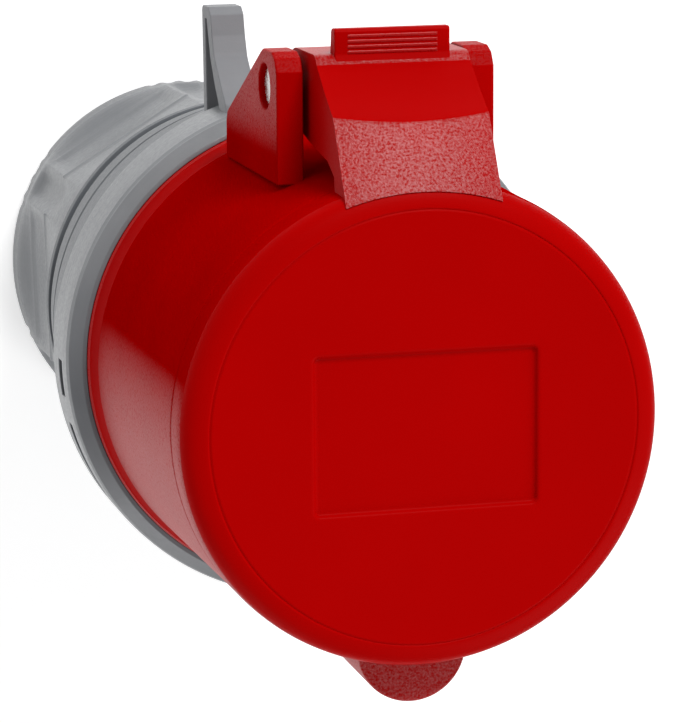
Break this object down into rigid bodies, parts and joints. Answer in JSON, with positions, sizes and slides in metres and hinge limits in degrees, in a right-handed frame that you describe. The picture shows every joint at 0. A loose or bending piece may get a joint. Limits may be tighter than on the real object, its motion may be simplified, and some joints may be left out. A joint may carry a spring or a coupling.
{
  "type": "industrial cable socket",
  "caption": "Round industrial cable socket with a sprung hinged lid, sleeve contacts, keyed collar, locking ring and a gland nut for the cable.",
  "frame": {"origin": "centre of the bounding box, at the rear face of the gland nut on which the socket stands", "axes": "+Z from the gland nut to the lid, +Y to the lid's hinge, -Y to the keyway"},
  "size_m": [0.0886, 0.1076, 0.176],
  "materials": {
    "red_plastic": "fine satin",
    "grey_plastic": "fine satin",
    "black_plastic": "satin",
    "rubber": "matte",
    "brass": "machined",
    "steel": "bright zinc"
  },
  "bodies": {
    "housing": {"front_housing": "red_plastic", "hinge_pin": "steel", "lid_spring": "steel", "contact_carrier": "black_plastic", "carrier_cover": "black_plastic", "carrier_screw_1": "steel", "carrier_screw_2": "steel", "contact_earth": "brass", "contact_line_1": "brass", "contact_line_2": "brass", "contact_line_3": "brass", "contact_neutral": "brass", "terminal_screw_earth": "steel", "terminal_screw_line_1": "steel", "terminal_screw_line_2": "steel", "terminal_screw_line_3": "steel", "terminal_screw_neutral": "steel", "contact_clip_earth": "steel", "contact_clip_line_1": "steel", "contact_clip_line_2": "steel", "contact_clip_line_3": "steel", "contact_clip_neutral": "steel", "housing_seal": "rubber", "rear_housing": "grey_plastic", "gland_seal": "rubber"},
    "lid": {"lid": "red_plastic", "lid_gasket": "rubber"},
    "gland_clamp": {"gland_clamp": "black_plastic"},
    "gland_nut": {"gland_nut": "grey_plastic"}
  },
  "joints": [
    {"name": "lid_hinge", "type": "hinge", "parent": "housing", "child": "lid", "pos_m": [0, 0.0438, 0.145], "axis": [-1, 0, 0], "range_deg": [0, 120], "stiffness_Nm_per_rad": 0.05, "springref_deg": -57.3, "deforming": ["lid_spring"]},
    {"name": "gland_clamp_slide", "type": "slide", "parent": "housing", "child": "gland_clamp", "axis": [0, 0, -1], "range_m": [0, 0.006]},
    {"name": "gland_nut_turn", "type": "hinge", "parent": "gland_clamp", "child": "gland_nut", "pos_m": [0, -0.0072, 0.025], "axis": [0, 0, -1], "range_deg": [0, 720]}
  ],
  "couplings": [
    {"joint": "gland_clamp_slide", "follows": "gland_nut_turn", "m_per_rad": 0.00047746}
  ]
}
